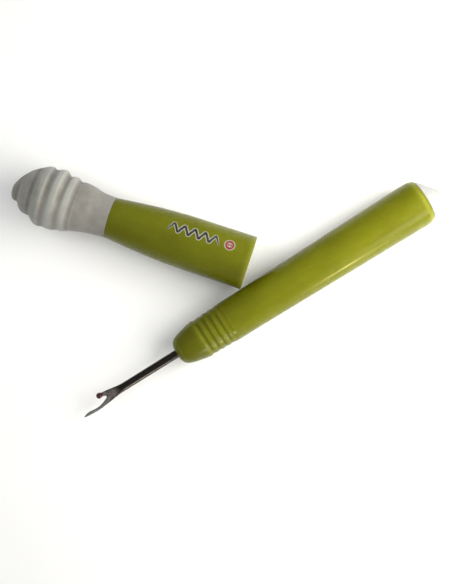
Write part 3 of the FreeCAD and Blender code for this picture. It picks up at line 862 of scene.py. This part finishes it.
def ink(name, colour, worn):
    """Pad-printed ink film with pinholes and thin patches, where worn shows."""
    paint = Paint(name)
    holes = paint.span(paint.grain(0.13, detail=3, rough=0.7), 0.6, 0.68)
    thin = paint.span(paint.grain(1.4, detail=4), 0.42, 0.7)
    share = paint.maths("ADD", paint.times(holes, 0.7), paint.times(thin, 0.25))
    paint.set(Base_Color=paint.blend(share, colour, worn), Roughness=paint.span(thin, 0, 1, 0.38, 0.55))
    paint.bumps((paint.grain(0.09, detail=2), 0.003))
    return paint.material


def coat(piece, material):
    """Give a piece its one material."""
    piece.data.materials.append(material)


# ---------------------------------------------------------------- the object

handle = make_handle()
bush = make_tail_bush()
tip = make_tail_tip()
blade = make_blade()
ball = make_ball()
cap = make_cap()
liner = make_liner()
bulb = make_bulb()
underlay, motif, thread = make_print()

coat(handle, green_plastic("handle_plastic", deep=(0.109, 0.112, 0.003), bright=(0.134, 0.14, 0.004),
                           shade_end=26))
# the cap's green is a darker copy of the handle's plastic: painted shade over the whole cap
coat(cap, green_plastic("cap_plastic", deep=(0.095, 0.098, 0.003), bright=(0.119, 0.126, 0.004),
                        shade_end=40))
coat(blade, steel())
coat(ball, red_enamel())
coat(bulb, rubber("bulb_rubber", clean=(0.36, 0.367, 0.33), soiled_and_shaded=(0.136, 0.121, 0.105),
                  dirt_from=17, dirt_to=-4))
coat(tip, rubber("tip_rubber", clean=(0.27, 0.27, 0.26), soiled_and_shaded=(0.22, 0.215, 0.2),
                 dirt_from=90, dirt_to=TIP_END))
white = inner_plastic()
coat(bush, white)
coat(liner, white)
coat(underlay, ink("underprint", colour=(0.3, 0.3, 0.24), worn=(0.2, 0.21, 0.06)))
coat(motif, ink("black_ink", colour=(0.012, 0.012, 0.014), worn=(0.09, 0.09, 0.05)))
coat(thread, ink("red_ink", colour=(0.2, 0.004, 0.015), worn=(0.2, 0.06, 0.03)))

# ---------------------------------------------------------------- floor, light, camera

# Lengths are metres from here on.
FLOOR_SIZE = 4.0
VIEW_TURN = -31.94             # degrees that the camera is turned about the vertical
VIEW_TILT = 2.07               # and tilted up the picture
VIEW_LEAN = 1.24               # and to the left of it
VIEW_FOOT = (-0.0071, -0.0378)  # point of the floor below the camera
VIEW_HEIGHT = 0.343
VIEW_LENS = 68.73
DOME_COLOUR = (0.98, 0.99, 1.0, 1)
DOME_DIM, DOME_BRIGHT = 0.24, 0.66
# name, direction seen in the picture (right, up, lift), distance, size, power, colour, unseen by
LAMPS = (
    ("key", (1.0, 0.0, 0.69), 0.158, 0.13, 0.43, (1.0, 0.98, 0.93), ("camera", "glossy")),
    ("top", (-0.7, 0.1, 1.0), 0.45, 0.3, 0.5, (1.0, 1.0, 1.0), ("camera", "glossy")),
    ("edge", (0.84, -0.57, 0.45), 0.36, 0.14, 0.46, (1.0, 0.97, 0.9), ("camera",)),
    ("rod", (0.26, -0.85, 0.22), 0.35, 0.05, 0.34, (1.0, 0.94, 0.85), ("camera", "diffuse")),
    ("streak", (0.675, -0.74, 0.08), 0.233, 0.012, 0.11, (1.0, 0.85, 0.42), ("camera", "diffuse")),
)


def view_direction(right, up, lift):
    """A direction in the frame's axes from one given as seen in the picture."""
    turn = math.radians(VIEW_TURN)
    across = Vector((math.cos(turn), math.sin(turn), 0))
    upwards = Vector((-math.sin(turn), math.cos(turn), 0))
    return across * right + upwards * up + Vector((0, 0, lift))


def add_lamp(name, direction, distance, size, power, colour, unseen_by):
    """Square soft light that looks at the middle of the object from a direction."""
    lamp = bpy.data.lights.new(name, "AREA")
    lamp.size = size
    lamp.energy = power
    lamp.color = colour
    holder = bpy.data.objects.new(name, lamp)
    bpy.context.scene.collection.objects.link(holder)
    away = view_direction(*direction).normalized()
    holder.location = away * distance
    holder.rotation_mode = "QUATERNION"
    holder.rotation_quaternion = away.to_track_quat("Z", "Y")
    for rays in unseen_by:
        setattr(holder, "visible_" + rays, False)


def make_floor():
    """White table top."""
    half = FLOOR_SIZE / 2
    mesh = bpy.data.meshes.new("floor")
    corners = [(-half, -half, 0), (half, -half, 0), (half, half, 0), (-half, half, 0)]
    mesh.from_pydata(corners, [], [(0, 1, 2, 3)])
    floor = bpy.data.objects.new("floor", mesh)
    bpy.context.scene.collection.objects.link(floor)
    paint = Paint("floor_paint")
    tone = paint.span(paint.grain(60, detail=2), 0.3, 0.7)
    paint.set(Base_Color=paint.blend(tone, (0.91, 0.91, 0.9), (0.93, 0.93, 0.92)), Roughness=0.9,
              Specular_IOR_Level=0.1)
    coat(floor, paint.material)


def make_camera():
    """The photo's camera, which looks almost straight down."""
    lens = bpy.data.cameras.new("camera")
    lens.sensor_width = 36
    lens.lens = VIEW_LENS
    lens.clip_start, lens.clip_end = 0.01, 10
    camera = bpy.data.objects.new("camera", lens)
    place = Matrix.Translation((*VIEW_FOOT, VIEW_HEIGHT))
    for degrees, axis in ((VIEW_TURN, "Z"), (VIEW_TILT, "X"), (VIEW_LEAN, "Y")):
        place = place @ Matrix.Rotation(math.radians(degrees), 4, axis)
    camera.matrix_world = place
    bpy.context.scene.collection.objects.link(camera)
    bpy.context.scene.camera = camera


def make_light():
    """A soft white dome that is brighter on the right of the picture, and the lamps."""
    world = bpy.data.worlds.new("studio")
    world.use_nodes = True
    tree = world.node_tree
    ray = add(tree, "ShaderNodeTexCoord").outputs["Generated"]
    side = view_direction(1.0, 0.05, 0.3).normalized()
    facing = add(tree, "ShaderNodeVectorMath", {0: ray, 1: side}, operation="DOT_PRODUCT")
    glow = add(tree, "ShaderNodeMapRange", {"Value": facing.outputs["Value"], "From Min": -1.0,
                                            "To Min": DOME_DIM, "To Max": DOME_BRIGHT})
    feed(tree, tree.nodes["Background"], {"Color": DOME_COLOUR, "Strength": glow.outputs["Result"]})
    bpy.context.scene.world = world
    for lamp in LAMPS:
        add_lamp(*lamp)


make_floor()
make_camera()
make_light()
bpy.context.scene.view_settings.view_transform = "Standard"
